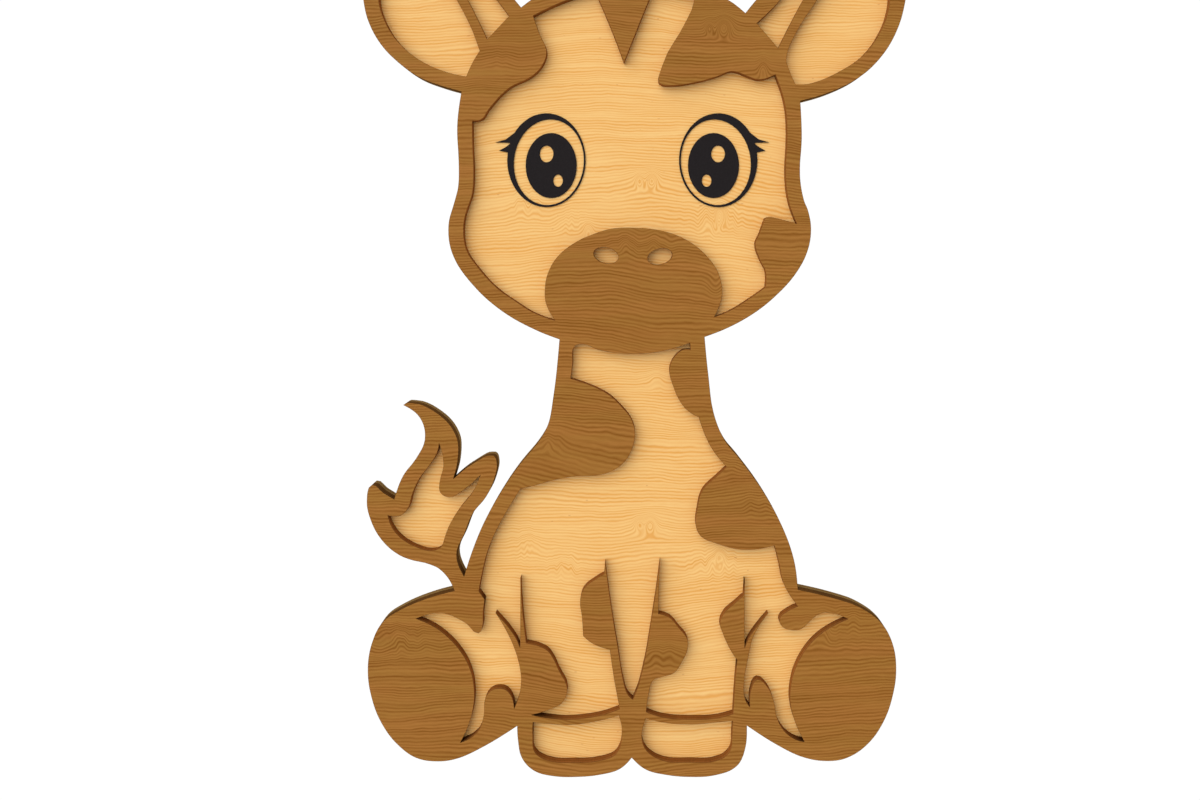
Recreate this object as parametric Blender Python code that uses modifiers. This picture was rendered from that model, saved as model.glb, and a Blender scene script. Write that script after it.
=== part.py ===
"""Giraffe plaque: a dark fretwork sheet glued on a pale plywood sheet of the same outline.

Metres, +Z up, the front faces -Y. The origin is where the wall hook carries the plaque,
on the wall's plane. Outlines are in millimetres on the sheet: x from the middle of the
plaque, z up from the soles of the feet.
"""
import math

import bmesh
import bpy

MM = 0.001

# Layers, counted from the wall towards the front
WALL_GAP = 3.0 * MM
SHEET = 3.0 * MM
GLUE_LINE = 0.3 * MM
FIT_GAP = 0.3 * MM
INLAY = 0.3 * MM
INLAY_GLUE = 0.1 * MM
BACK_FACE_Y = -WALL_GAP
PALE_FACE_Y = BACK_FACE_Y - SHEET
FRET_BACK_Y = PALE_FACE_Y - GLUE_LINE

# The hanger and what is on the back, heights measured from the soles
HOOK_HEIGHT = 236.0 * MM
HANGER_LENGTH = 44.0 * MM
HANGER_WIDTH = 12.0 * MM
HANGER_METAL = 0.8 * MM
HANGER_STEP = 1.4 * MM
HANGER_TAB = 9.0 * MM
HANGER_TEETH = 9
TOOTH_DEPTH = 2.2 * MM
SCREW_X = 17.5 * MM
SCREW_RADIUS = 0.8 * MM
SCREW_HEAD_RADIUS = 1.9 * MM
SCREW_HEAD_HEIGHT = 1.0 * MM
SCREW_LENGTH = 3.5 * MM
SCREW_EDGE = 0.4 * MM
SCREW_CHAMFER = 0.3 * MM
SCREW_SLOT = 0.5 * MM
SLOT_TURN = 25.0
SCREW_SEAT_Y = BACK_FACE_Y + FIT_GAP + HANGER_METAL + FIT_GAP
SCREW_TIP_Y = SCREW_SEAT_Y - SCREW_LENGTH
BUMPER_RADIUS = 5.0 * MM
BUMPER_ROUNDING = 1.0 * MM
BUMPER_X = 58.0 * MM
BUMPER_HEIGHT = 30.0 * MM

# Eyes, in millimetres on the sheet, as half of a mirrored pair
HEAD_MIDDLE = 0.1
EYE_STEPS = 40
EYE_RING = (28.9, 205.9, 13.2, 15.8)
EYE_RING_HOLE = (28.1, 205.2, 11.75, 14.45, 6.5)
PUPIL = (27.3, 204.1, 8.6, 10.95)
HIGHLIGHTS = ((28.85, 208.0, 2.3, 2.8), (25.0, 199.0, 1.6, 2.05))
# The ring's rim in degrees, from above the lashes round to where they start
RIM_FROM = 40
RIM_TO = 361
RIM_STEP = 8
# Each lash: the ring's angle above it, its waist, its tip, the ring's angle below it
LASHES = ((36.0, (42.5, 212.9), (46.0, 211.9), 21.5), (20.0, (42.6, 210.3), (44.8, 209.1), 9.5))

# Finishes: colour, roughness, metallic value
FINISHES = {
    "pale_plywood": ((0.80, 0.56, 0.28), 0.6, 0.0),
    "dark_stained_plywood": ((0.35, 0.16, 0.04), 0.6, 0.0),
    "matte_black": ((0.02, 0.016, 0.015), 0.75, 0.0),
    "zinc_plated_steel": ((0.62, 0.62, 0.60), 0.35, 1.0),
    "screw_steel": ((0.70, 0.69, 0.66), 0.3, 1.0),
    "grey_rubber": ((0.10, 0.10, 0.10), 0.8, 0.0),
}

# Outlines: segments per curve, a smooth point's handle and a corner's as shares of their span
CURVE_STEPS = 3
SMOOTH_REACH = 0.36
CORNER_REACH = 0.5
STRAIGHT_REACH = 1 / 3
WELD = 1e-6
C = "corner"

LEFT_OUTLINE = [
    (-37.0, 256.6, C), (-39.0, 259.0), (-48.3, 270.6), (-56.8, 281.0), (-61.2, 288.6), (-60.6, 294.5),
    (-62.6, 300.4), (-69.3, 303.3), (-75.9, 300.3), (-78.0, 293.6), (-74.0, 287.0), (-70.8, 280.6),
    (-68.0, 275.2, C), (-72.4, 279.0), (-82.7, 283.0, C), (-87.4, 274.6), (-90.2, 266.0), (-89.6, 259.0),
    (-87.9, 251.9), (-83.7, 244.2), (-77.9, 238.2), (-71.2, 233.4), (-65.1, 230.9), (-56.9, 228.5, C),
    (-58.3, 217.0), (-57.8, 205.0), (-58.0, 196.7), (-59.3, 191.5), (-61.2, 184.0), (-59.9, 174.4),
    (-53.3, 164.3), (-43.2, 155.2), (-32.1, 149.0), (-24.2, 145.9, C), (-26.6, 124.3), (-28.0, 117.6),
    (-31.0, 112.1), (-37.4, 104.3), (-42.0, 97.8), (-48.5, 86.6), (-52.6, 77.2), (-56.0, 66.9, C),
    (-58.5, 74.3), (-55.9, 81.0), (-53.0, 88.0), (-48.8, 93.2), (-45.7, 100.0), (-45.2, 105.8),
    (-46.3, 107.2), (-52.4, 104.9), (-59.6, 99.4, C), (-58.0, 106.5), (-58.6, 113.7), (-64.7, 121.1),
    (-74.6, 124.8), (-76.3, 124.0, C), (-70.7, 119.7), (-69.1, 112.5), (-72.1, 106.1), (-76.3, 100.5),
    (-79.3, 92.6, C), (-83.0, 94.9), (-86.7, 97.4), (-88.4, 93.0), (-87.2, 85.8), (-82.7, 78.1),
    (-76.3, 73.3), (-65.5, 70.1), (-61.8, 66.9), (-59.2, 62.1, C), (-69.4, 59.2), (-78.3, 55.2),
    (-82.8, 52.0), (-86.0, 46.7), (-88.1, 36.7), (-86.5, 25.2), (-82.5, 16.2), (-77.1, 9.8), (-71.8, 6.3),
    (-65.4, 5.2), (-59.1, 5.9), (-51.6, 9.0), (-38.3, 17.0, C), (-38.0, 12.0), (-36.7, 6.3), (-32.7, 2.1),
    (-27.1, 0.4), (-18.7, 0.0), (-9.8, 0.9), (-4.0, 2.7), (-0.1, 6.4, C),
]
RIGHT_OUTLINE = [
    (4.5, 2.5), (10.7, 0.8), (19.5, 0.0), (27.8, 0.6), (34.8, 3.5), (37.5, 8.5), (38.3, 17.1, C),
    (50.3, 9.6), (57.3, 6.5), (64.9, 5.3), (71.5, 6.3), (78.5, 10.9), (83.9, 18.5), (87.0, 27.4),
    (88.1, 36.0), (86.9, 44.4), (83.1, 51.4), (75.8, 56.7), (68.9, 59.2), (55.3, 62.5, C), (54.0, 72.4),
    (49.9, 83.9), (43.1, 96.2), (35.4, 106.7), (30.9, 112.3), (27.2, 121.5), (25.6, 132.7),
    (24.2, 146.7, C), (32.5, 150.0), (41.1, 154.9), (47.8, 160.3), (54.5, 167.7), (58.5, 175.3),
    (59.7, 182.7), (58.7, 188.8), (57.3, 192.4), (56.0, 200.7), (56.6, 213.0), (56.1, 225.4, C),
    (66.2, 228.4), (76.1, 233.5), (83.4, 240.5), (88.2, 248.6), (90.8, 257.0), (91.5, 264.5),
    (89.2, 272.6), (84.5, 280.4, C), (74.8, 277.0), (70.4, 273.2, C), (73.0, 278.4), (76.0, 284.8),
    (80.2, 291.2), (78.4, 298.2), (71.8, 301.3), (65.0, 298.6), (62.9, 292.6), (63.4, 286.8),
    (58.8, 279.4), (50.2, 269.0), (41.3, 259.0), (37.8, 254.7, C), (32.7, 258.7), (18.0, 265.4),
    (0.3, 268.6), (-17.6, 266.2), (-30.6, 261.0),
]
LEFT_EAR_WINDOW = [
    (-84.5, 259.0), (-82.6, 252.4), (-78.7, 245.9), (-72.0, 239.8), (-63.6, 235.6), (-55.3, 233.5, C),
    (-53.3, 238.0), (-50.8, 242.1, C), (-53.6, 249.6), (-58.4, 259.0), (-63.6, 268.0, C), (-70.6, 273.6),
    (-80.0, 277.2, C), (-83.7, 268.6),
]
LEFT_HORN_WINDOW = [
    (-48.3, 246.0, C), (-41.0, 253.7, C), (-45.0, 259.0), (-53.4, 269.6), (-61.0, 279.0), (-64.0, 281.4),
    (-65.8, 278.0), (-61.0, 270.4), (-54.7, 259.0),
]
FACE_WINDOW = [
    (-2.7, 238.2, C), (-6.2, 247.6), (-12.2, 261.8, C), (-22.0, 258.9), (-33.0, 253.8, C), (-31.0, 248.2),
    (-28.5, 241.8), (-30.1, 237.0), (-33.9, 233.3), (-41.0, 229.7), (-48.0, 222.3), (-50.0, 219.4),
    (-53.3, 218.7, C), (-53.1, 209.3), (-52.8, 202.0), (-53.3, 194.4), (-55.5, 187.7), (-56.2, 182.8),
    (-55.3, 176.0), (-51.3, 169.8), (-45.0, 163.0), (-38.5, 158.4), (-33.0, 154.9), (-25.7, 152.2, C),
    (-28.7, 157.9), (-29.0, 163.4), (-28.0, 168.1), (-25.0, 173.3), (-19.3, 178.0), (-12.9, 181.0),
    (-6.7, 182.8), (-0.3, 183.1), (9.0, 182.3), (15.3, 180.4), (20.9, 177.3), (25.7, 172.8),
    (28.9, 167.8), (30.0, 160.5), (27.3, 153.3, C), (32.3, 155.3), (38.7, 159.2), (44.5, 163.3, C),
    (44.5, 168.5), (42.7, 172.3), (41.1, 177.8), (42.5, 181.3), (44.2, 186.1, C), (45.2, 186.7),
    (48.6, 186.2), (55.0, 184.4, C), (52.2, 192.1), (51.2, 201.0), (51.7, 213.5), (51.0, 224.2),
    (47.8, 234.2, C), (42.2, 232.5), (38.9, 233.5), (33.4, 235.3), (28.2, 233.5), (21.6, 231.7),
    (13.4, 230.6), (9.2, 231.3), (9.0, 234.0), (19.6, 255.2), (21.2, 261.0, C), (7.0, 262.4, C),
    (4.4, 256.0),
]
RIGHT_HORN_WINDOW = [
    (41.6, 251.3, C), (48.7, 243.0, C), (56.6, 258.3), (63.0, 269.4), (67.4, 277.0), (65.4, 279.6),
    (62.2, 277.2), (55.4, 267.4), (48.7, 258.3),
]
RIGHT_EAR_WINDOW = [
    (61.7, 259.0), (54.9, 248.4), (51.5, 239.3), (52.3, 236.1), (54.6, 230.8, C), (59.7, 231.3),
    (69.1, 235.2), (77.3, 240.9), (83.0, 248.9), (85.7, 257.0), (85.6, 264.8), (81.8, 274.8, C),
    (72.6, 271.4), (66.0, 265.8, C),
]
# The neck, the belly, the front legs and both hind legs are one opening
BODY_WINDOW = [
    (-19.3, 143.4), (-16.8, 144.3), (-11.2, 142.4), (-4.7, 141.3), (2.3, 141.1), (9.3, 141.8),
    (19.3, 144.7, C), (19.5, 142.5, C), (16.9, 142.4), (14.3, 140.2), (12.7, 137.3), (12.5, 134.7),
    (13.7, 130.3), (16.3, 124.7), (19.3, 121.5), (22.3, 120.0, C), (23.9, 115.0), (26.7, 109.3),
    (31.5, 103.3, C), (27.5, 99.6), (23.5, 95.6), (21.7, 89.2), (21.3, 83.7), (22.9, 80.3), (27.9, 77.9),
    (37.5, 75.7), (47.5, 77.1, C), (48.9, 71.8), (50.7, 64.1), (55.3, 56.9, C), (51.9, 55.3),
    (49.2, 52.7), (49.9, 50.3), (52.7, 49.0), (56.3, 49.3), (59.5, 52.1), (62.0, 54.1), (64.9, 54.8),
    (72.1, 52.7, C), (64.6, 48.9), (59.5, 44.5), (55.0, 37.5), (53.1, 31.1), (52.7, 25.6), (54.0, 19.3),
    (57.4, 11.8, C), (54.4, 12.6), (50.8, 15.3), (48.5, 19.3), (47.2, 25.5), (45.0, 30.2), (41.8, 32.5),
    (40.0, 30.2), (39.3, 23.3, C), (37.7, 26.0), (37.3, 30.3), (38.7, 39.6), (40.6, 47.0),
    (45.4, 54.6, C), (41.4, 49.9), (38.7, 45.8), (37.5, 42.9, C), (37.6, 66.0, C), (37.2, 60.5, C),
    (33.8, 57.5), (30.9, 54.9), (29.3, 51.3), (30.2, 48.0), (32.7, 42.5), (35.0, 39.0, C), (34.3, 30.7),
    (33.7, 21.0, C), (27.7, 19.5), (19.3, 19.2), (10.7, 19.8), (4.7, 21.7, C), (5.7, 28.2), (7.1, 32.2),
    (10.7, 33.5), (14.0, 34.7), (17.0, 39.0), (18.6, 43.0), (18.3, 46.3), (15.7, 49.6), (12.6, 53.1),
    (8.8, 54.4, C), (9.3, 72.2, C), (6.7, 53.9), (2.5, 31.7), (0.3, 25.8, C), (-1.4, 27.5), (-2.5, 30.3),
    (-4.7, 43.0), (-6.8, 55.6), (-9.0, 71.8, C), (-9.3, 67.6, C), (-12.2, 65.9), (-16.1, 62.7),
    (-17.3, 58.7), (-16.7, 53.3), (-16.3, 47.0, C), (-13.2, 44.5), (-7.4, 42.4, C), (-6.1, 33.3),
    (-4.1, 22.7, C), (-9.8, 20.7), (-16.7, 19.5), (-23.5, 19.2), (-33.5, 20.7, C), (-26.9, 22.7),
    (-23.0, 25.0), (-21.6, 29.5), (-24.4, 35.6), (-26.8, 40.5), (-28.8, 42.6), (-35.3, 44.6, C),
    (-36.7, 57.7), (-37.2, 66.5, C), (-37.3, 43.0, C), (-39.0, 46.8), (-45.5, 54.7, C), (-41.4, 47.7),
    (-38.7, 41.3), (-37.1, 34.2), (-37.3, 28.8), (-39.3, 22.8, C), (-40.0, 26.4), (-41.9, 28.9),
    (-43.9, 29.5), (-46.6, 29.0), (-48.9, 26.4), (-49.5, 20.5), (-51.5, 15.0), (-57.2, 11.5, C),
    (-54.7, 16.8), (-53.0, 22.7), (-52.6, 28.8), (-54.0, 36.0), (-57.1, 41.8), (-61.7, 46.9),
    (-66.4, 50.3), (-72.1, 52.8, C), (-66.3, 54.5), (-62.6, 54.5), (-55.2, 51.1), (-51.2, 47.9),
    (-49.8, 50.6), (-49.7, 54.0), (-49.1, 59.2, C), (-51.1, 62.0, C), (-49.7, 69.3), (-47.8, 76.3),
    (-44.1, 84.4), (-40.5, 90.7), (-37.1, 96.1, C), (-32.6, 97.1), (-25.1, 99.2), (-18.7, 100.2),
    (-12.7, 100.4), (-6.8, 101.9), (-2.3, 105.3), (0.3, 110.2), (1.0, 115.0), (-0.3, 119.4),
    (-3.4, 123.4), (-7.6, 127.3), (-13.0, 130.2), (-20.5, 132.8, C), (-19.8, 138.3),
]
TAIL_WINDOW = [
    (-64.3, 111.3, C), (-65.1, 107.9), (-67.8, 103.6), (-71.0, 99.3), (-73.3, 94.2), (-74.6, 89.8),
    (-77.1, 87.2), (-81.4, 87.2, C), (-80.3, 83.8), (-77.5, 80.1), (-72.2, 76.8), (-67.0, 75.5),
    (-63.8, 76.6), (-62.4, 80.1), (-61.0, 83.8), (-57.7, 89.3), (-53.0, 95.3), (-50.5, 100.7, C),
    (-57.1, 95.0), (-60.6, 93.2), (-63.9, 94.8), (-64.1, 98.6), (-62.9, 104.0),
]
LEFT_FOOT_WINDOW = [
    (-33.0, 18.3, C), (-29.3, 17.8), (-20.0, 17.4), (-9.8, 19.0), (-4.4, 20.5, C), (-3.4, 15.0),
    (-5.2, 7.9), (-10.5, 5.5), (-19.0, 4.8), (-28.1, 5.5), (-32.4, 8.3), (-33.1, 13.5),
]
RIGHT_FOOT_WINDOW = [
    (4.6, 19.5, C), (10.7, 18.1), (19.5, 17.5), (27.7, 18.1), (33.6, 18.7, C), (33.3, 13.7), (32.8, 9.0),
    (29.5, 5.9), (19.3, 4.9), (8.8, 6.0), (3.7, 10.8),
]
NOSTRILS = ((-8.7, 173.9, 4.2, 2.6, -14.0), (9.3, 173.5, 4.2, 2.6, 14.0))

COLLECTION = "giraffe_plaque"


def clear_scene():
    for item in list(bpy.data.objects):
        bpy.data.objects.remove(item, do_unlink=True)


def new_collection(name):
    collection = bpy.data.collections.new(name)
    bpy.context.scene.collection.children.link(collection)
    return collection


def material(name):
    """The Principled material of one of the finishes."""
    colour, roughness, metallic = FINISHES[name]
    made = bpy.data.materials.new(name)
    made.use_nodes = True
    shader = made.node_tree.nodes["Principled BSDF"]
    shader.inputs["Base Color"].default_value = (*colour, 1.0)
    shader.inputs["Roughness"].default_value = roughness
    shader.inputs["Metallic"].default_value = metallic
    made.diffuse_color = (*colour, 1.0)
    return made


def handles(points):
    """Bezier handles: tangents at smooth points, half-way ends at corners."""
    count = len(points)
    found = []
    for i, point in enumerate(points):
        x, z = point[:2]
        before = points[i - 1]
        after = points[(i + 1) % count]
        back = math.hypot(x - before[0], z - before[1])
        ahead = math.hypot(after[0] - x, after[1] - z)
        along_x = (x - before[0]) / back + (after[0] - x) / ahead
        along_z = (z - before[1]) / back + (after[1] - z) / ahead
        size = math.hypot(along_x, along_z)
        along_x /= size
        along_z /= size
        left = (x - along_x * back * SMOOTH_REACH, z - along_z * back * SMOOTH_REACH)
        right = (x + along_x * ahead * SMOOTH_REACH, z + along_z * ahead * SMOOTH_REACH)
        found.append([left, right])
    for i, point in enumerate(points):
        if len(point) < 3:
            continue
        x, z = point[:2]
        for side, step in ((0, -1), (1, 1)):
            other = points[(i + step) % count]
            straight = len(other) == 3
            target = other[:2] if straight else found[(i + step) % count][1 - side]
            share = STRAIGHT_REACH if straight else CORNER_REACH
            found[i][side] = (x + (target[0] - x) * share, z + (target[1] - z) * share)
    return found


def turned_way(points, clockwise):
    """The same loop, running clockwise or anticlockwise."""
    area = sum(points[i - 1][0] * point[1] - point[0] * points[i - 1][1] for i, point in enumerate(points))
    return points[::-1] if (area < 0) != clockwise else points


def add_outline(curve, points, hole=False):
    """A closed Bezier loop through points in millimetres."""
    points = turned_way(points, hole)
    spline = curve.splines.new("BEZIER")
    spline.bezier_points.add(len(points) - 1)
    spline.use_cyclic_u = True
    spline.resolution_u = CURVE_STEPS
    for knot, point, ends in zip(spline.bezier_points, points, handles(points)):
        knot.handle_left_type = "FREE"
        knot.handle_right_type = "FREE"
        knot.co = (point[0] * MM, point[1] * MM, 0.0)
        knot.handle_left = (ends[0][0] * MM, ends[0][1] * MM, 0.0)
        knot.handle_right = (ends[1][0] * MM, ends[1][1] * MM, 0.0)


def add_loop(curve, points, hole=False):
    """A closed loop of straight segments through points in millimetres."""
    points = turned_way(points, hole)
    spline = curve.splines.new("POLY")
    spline.points.add(len(points) - 1)
    spline.use_cyclic_u = True
    for knot, point in zip(spline.points, points):
        knot.co = (point[0] * MM, point[1] * MM, 0.0, 1.0)


def ellipse(x, z, radius_x, radius_z, tilt=0.0, steps=28):
    """Points round an ellipse whose long axis is tilted by degrees."""
    turn = math.radians(tilt)
    points = []
    for i in range(steps):
        angle = 2 * math.pi * i / steps
        along = radius_x * math.cos(angle)
        across = radius_z * math.sin(angle)
        points.append((x + along * math.cos(turn) - across * math.sin(turn),
                       z + along * math.sin(turn) + across * math.cos(turn)))
    return points


def flat_curve(name, thickness, back_y):
    """An empty 2D curve that stands upright, its back on the plane back_y."""
    curve = bpy.data.curves.new(name, "CURVE")
    curve.dimensions = "2D"
    curve.fill_mode = "BOTH"
    curve.extrude = thickness / 2
    item = bpy.data.objects.new(name, curve)
    item.rotation_euler = (math.radians(90), 0.0, 0.0)
    item.location = (0.0, back_y - thickness / 2, -HOOK_HEIGHT)
    return item


def as_mesh(item, collection):
    """Turns a curve object into a welded mesh object of the same name and place."""
    collection.objects.link(item)
    bpy.context.view_layer.update()
    evaluated = item.evaluated_get(bpy.context.evaluated_depsgraph_get())
    mesh = bpy.data.meshes.new_from_object(evaluated)
    matrix = item.matrix_world.copy()
    name = item.name
    bpy.data.objects.remove(item, do_unlink=True)
    work = bmesh.new()
    work.from_mesh(mesh)
    bmesh.ops.remove_doubles(work, verts=work.verts, dist=WELD)
    work.to_mesh(mesh)
    work.free()
    solid = bpy.data.objects.new(name, mesh)
    solid.matrix_world = matrix
    collection.objects.link(solid)
    return solid


def upright_cylinder(name, radius, y_from, y_to, x, height, collection, sides=20):
    """A cylinder along Y between two depths, height measured from the soles."""
    mesh = bpy.data.meshes.new(name)
    work = bmesh.new()
    bmesh.ops.create_cone(work, cap_ends=True, segments=sides, radius1=radius, radius2=radius,
                          depth=abs(y_to - y_from))
    work.to_mesh(mesh)
    work.free()
    item = bpy.data.objects.new(name, mesh)
    item.rotation_euler = (math.radians(90), 0.0, 0.0)
    item.location = (x, (y_from + y_to) / 2, height - HOOK_HEIGHT)
    collection.objects.link(item)
    return item


def cut(item, cutter):
    """Cuts the cutter's shape out of an object."""
    cutter.hide_render = True
    cutter.display_type = "WIRE"
    boolean = item.modifiers.new(cutter.name, "BOOLEAN")
    boolean.operation = "DIFFERENCE"
    boolean.solver = "EXACT"
    boolean.object = cutter


def silhouette():
    return LEFT_OUTLINE + RIGHT_OUTLINE


def build_back_panel(parts, cutters):
    panel = flat_curve("back_panel", SHEET, BACK_FACE_Y)
    add_outline(panel.data, silhouette())
    panel = as_mesh(panel, parts)
    panel.data.materials.append(material("pale_plywood"))
    for side in (-1, 1):
        hole = upright_cylinder("pilot_hole_cutter", SCREW_RADIUS + FIT_GAP, 0.0, SCREW_TIP_Y - FIT_GAP,
                                side * SCREW_X, HOOK_HEIGHT, cutters)
        cut(panel, hole)


def build_front_fretwork(parts):
    fretwork = flat_curve("front_fretwork", SHEET, FRET_BACK_Y)
    add_outline(fretwork.data, silhouette())
    for window in (LEFT_EAR_WINDOW, LEFT_HORN_WINDOW, FACE_WINDOW, RIGHT_HORN_WINDOW, RIGHT_EAR_WINDOW,
                   BODY_WINDOW, TAIL_WINDOW, LEFT_FOOT_WINDOW, RIGHT_FOOT_WINDOW):
        add_outline(fretwork.data, window, hole=True)
    for nostril in NOSTRILS:
        add_loop(fretwork.data, ellipse(*nostril), hole=True)
    fretwork.data.materials.append(material("dark_stained_plywood"))
    parts.objects.link(fretwork)


def build_eye(parts, name, side, black):
    """A ring with lashes and the pupil inside it, mirrored by side."""
    def place(points):
        return [(HEAD_MIDDLE + side * x, z) for x, z in points]

    def on_ring(degrees):
        x, z, radius_x, radius_z = EYE_RING
        angle = math.radians(degrees)
        return (x + radius_x * math.cos(angle), z + radius_z * math.sin(angle))

    rim = [on_ring(degrees) for degrees in range(RIM_FROM, RIM_TO, RIM_STEP)]
    for top_degrees, waist, tip, low_degrees in reversed(LASHES):
        rim += [on_ring(low_degrees), tip, waist, on_ring(top_degrees)]
    ring = flat_curve(name + "_eye_ring", INLAY, PALE_FACE_Y - INLAY_GLUE)
    add_loop(ring.data, place(rim))
    add_loop(ring.data, place(ellipse(*EYE_RING_HOLE, steps=EYE_STEPS)), hole=True)
    ring.data.materials.append(black)
    parts.objects.link(ring)

    pupil = flat_curve(name + "_pupil", INLAY, PALE_FACE_Y - INLAY_GLUE)
    add_loop(pupil.data, place(ellipse(*PUPIL, steps=EYE_STEPS)))
    for highlight in HIGHLIGHTS:
        add_loop(pupil.data, place(ellipse(*highlight)), hole=True)
    pupil.data.materials.append(black)
    parts.objects.link(pupil)


def build_hanger(parts, cutters):
    """A strip bent so that its toothed middle stands off the wood between two screwed tabs."""
    half = HANGER_LENGTH / 2
    tab = half - HANGER_TAB
    ramp = tab - HANGER_STEP
    wood_side = [(-half, 0.0), (-tab, 0.0), (-ramp, HANGER_STEP), (ramp, HANGER_STEP), (tab, 0.0),
                 (half, 0.0)]
    wall_side = [(x, y + HANGER_METAL) for x, y in reversed(wood_side)]
    curve = bpy.data.curves.new("hanger_plate", "CURVE")
    curve.dimensions = "2D"
    curve.fill_mode = "BOTH"
    curve.extrude = HANGER_WIDTH / 2
    add_loop(curve, [(x / MM, y / MM) for x, y in wood_side + wall_side])
    plate = bpy.data.objects.new("hanger_plate", curve)
    plate.location = (0.0, BACK_FACE_Y + FIT_GAP, 0.0)
    plate = as_mesh(plate, parts)
    plate.data.materials.append(material("zinc_plated_steel"))

    # The teeth are cut into the lower edge, where the nail sits
    pitch = 2 * ramp / HANGER_TEETH
    edge = -HANGER_WIDTH / 2
    teeth = bpy.data.curves.new("teeth_cutter", "CURVE")
    teeth.dimensions = "2D"
    teeth.fill_mode = "BOTH"
    teeth.extrude = WALL_GAP
    points = [(-ramp, edge - TOOTH_DEPTH), (ramp, edge - TOOTH_DEPTH)]
    for i in range(HANGER_TEETH):
        right = ramp - i * pitch
        points.append((right, edge - FIT_GAP))
        points.append((right - pitch / 2, edge + TOOTH_DEPTH))
    points.append((-ramp, edge - FIT_GAP))
    add_loop(teeth, [(x / MM, z / MM) for x, z in points])
    cutter = bpy.data.objects.new("teeth_cutter", teeth)
    cutter.rotation_euler = (math.radians(90), 0.0, 0.0)
    cutter = as_mesh(cutter, cutters)
    cut(plate, cutter)
    for side in (-1, 1):
        hole = upright_cylinder("tab_hole_cutter", SCREW_RADIUS + FIT_GAP, BACK_FACE_Y, 0.0,
                                side * SCREW_X, HOOK_HEIGHT, cutters)
        cut(plate, hole)


def quarter(radius, top, across, drop, steps=3):
    """Points (radius, depth) of an edge rounded as a quarter of an ellipse, from the top outwards."""
    points = []
    for i in range(steps + 1):
        angle = math.pi / 2 * i / steps
        points.append((radius - across + across * math.sin(angle), top - drop + drop * math.cos(angle)))
    return points


def turned(name, profile, collection, x, height, steps=24):
    """A profile of (radius, depth from the wall) turned about an axis along Y."""
    mesh = bpy.data.meshes.new(name)
    mesh.from_pydata([(radius, 0.0, depth) for radius, depth in profile],
                     [(i, i + 1) for i in range(len(profile) - 1)], [])
    item = bpy.data.objects.new(name, mesh)
    screw = item.modifiers.new("turn", "SCREW")
    screw.axis = "Z"
    screw.steps = steps
    screw.render_steps = steps
    screw.use_merge_vertices = True
    screw.merge_threshold = 0.00001
    screw.use_smooth_shade = True
    item.rotation_euler = (math.radians(-90), 0.0, 0.0)
    item.location = (x, 0.0, height - HOOK_HEIGHT)
    collection.objects.link(item)
    return item


def build_screw(parts, cutters, name, side, steel):
    """A wood screw with a domed, slotted head."""
    top = SCREW_SEAT_Y + SCREW_HEAD_HEIGHT
    profile = quarter(SCREW_HEAD_RADIUS, top, SCREW_HEAD_RADIUS, SCREW_HEAD_HEIGHT - SCREW_EDGE)
    profile += [(SCREW_HEAD_RADIUS, SCREW_SEAT_Y), (SCREW_RADIUS, SCREW_SEAT_Y),
                (SCREW_RADIUS, SCREW_TIP_Y + SCREW_CHAMFER), (SCREW_RADIUS - SCREW_CHAMFER, SCREW_TIP_Y),
                (0.0, SCREW_TIP_Y)]
    screw = turned(name, profile, parts, side * SCREW_X, HOOK_HEIGHT)
    screw.data.materials.append(steel)
    mesh = bpy.data.meshes.new("slot_cutter")
    work = bmesh.new()
    bmesh.ops.create_cube(work, size=1.0)
    work.to_mesh(mesh)
    work.free()
    slot = bpy.data.objects.new("slot_cutter", mesh)
    slot.scale = (3 * SCREW_HEAD_RADIUS, SCREW_HEAD_HEIGHT, SCREW_SLOT)
    slot.rotation_euler = (0.0, math.radians(SLOT_TURN * side), 0.0)
    slot.location = (side * SCREW_X, top, 0.0)
    cutters.objects.link(slot)
    cut(screw, slot)


def build_bumper(parts, name, side, rubber):
    """A round pad whose rim is rounded on the side that meets the wall."""
    front = BACK_FACE_Y + FIT_GAP
    profile = [(0.0, 0.0)] + quarter(BUMPER_RADIUS, 0.0, BUMPER_ROUNDING, BUMPER_ROUNDING)
    profile += [(BUMPER_RADIUS, front), (0.0, front)]
    bumper = turned(name, profile, parts, side * BUMPER_X, BUMPER_HEIGHT)
    bumper.data.materials.append(rubber)


def main():
    clear_scene()
    parts = new_collection(COLLECTION)
    cutters = new_collection("cutters")
    black = material("matte_black")
    steel = material("screw_steel")
    rubber = material("grey_rubber")
    build_back_panel(parts, cutters)
    build_front_fretwork(parts)
    build_hanger(parts, cutters)
    for name, side in (("left", -1), ("right", 1)):
        build_eye(parts, name, side, black)
        build_screw(parts, cutters, name + "_hanger_screw", side, steel)
        build_bumper(parts, name + "_wall_bumper", side, rubber)
    bpy.context.view_layer.update()


main()
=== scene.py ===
"""Looks of the giraffe plaque: two laser-cut plywood sheets, black eyes and a sawtooth hanger.

The frame's origin is the wall hook, +Z is up and the front faces -Y. Shapes are in metres. Materials
measure in millimetres, and a pace is how many features of a noise fit in one millimetre.
"""
import math

import bmesh
import bpy
import numpy as np
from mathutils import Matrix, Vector, geometry, kdtree


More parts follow.
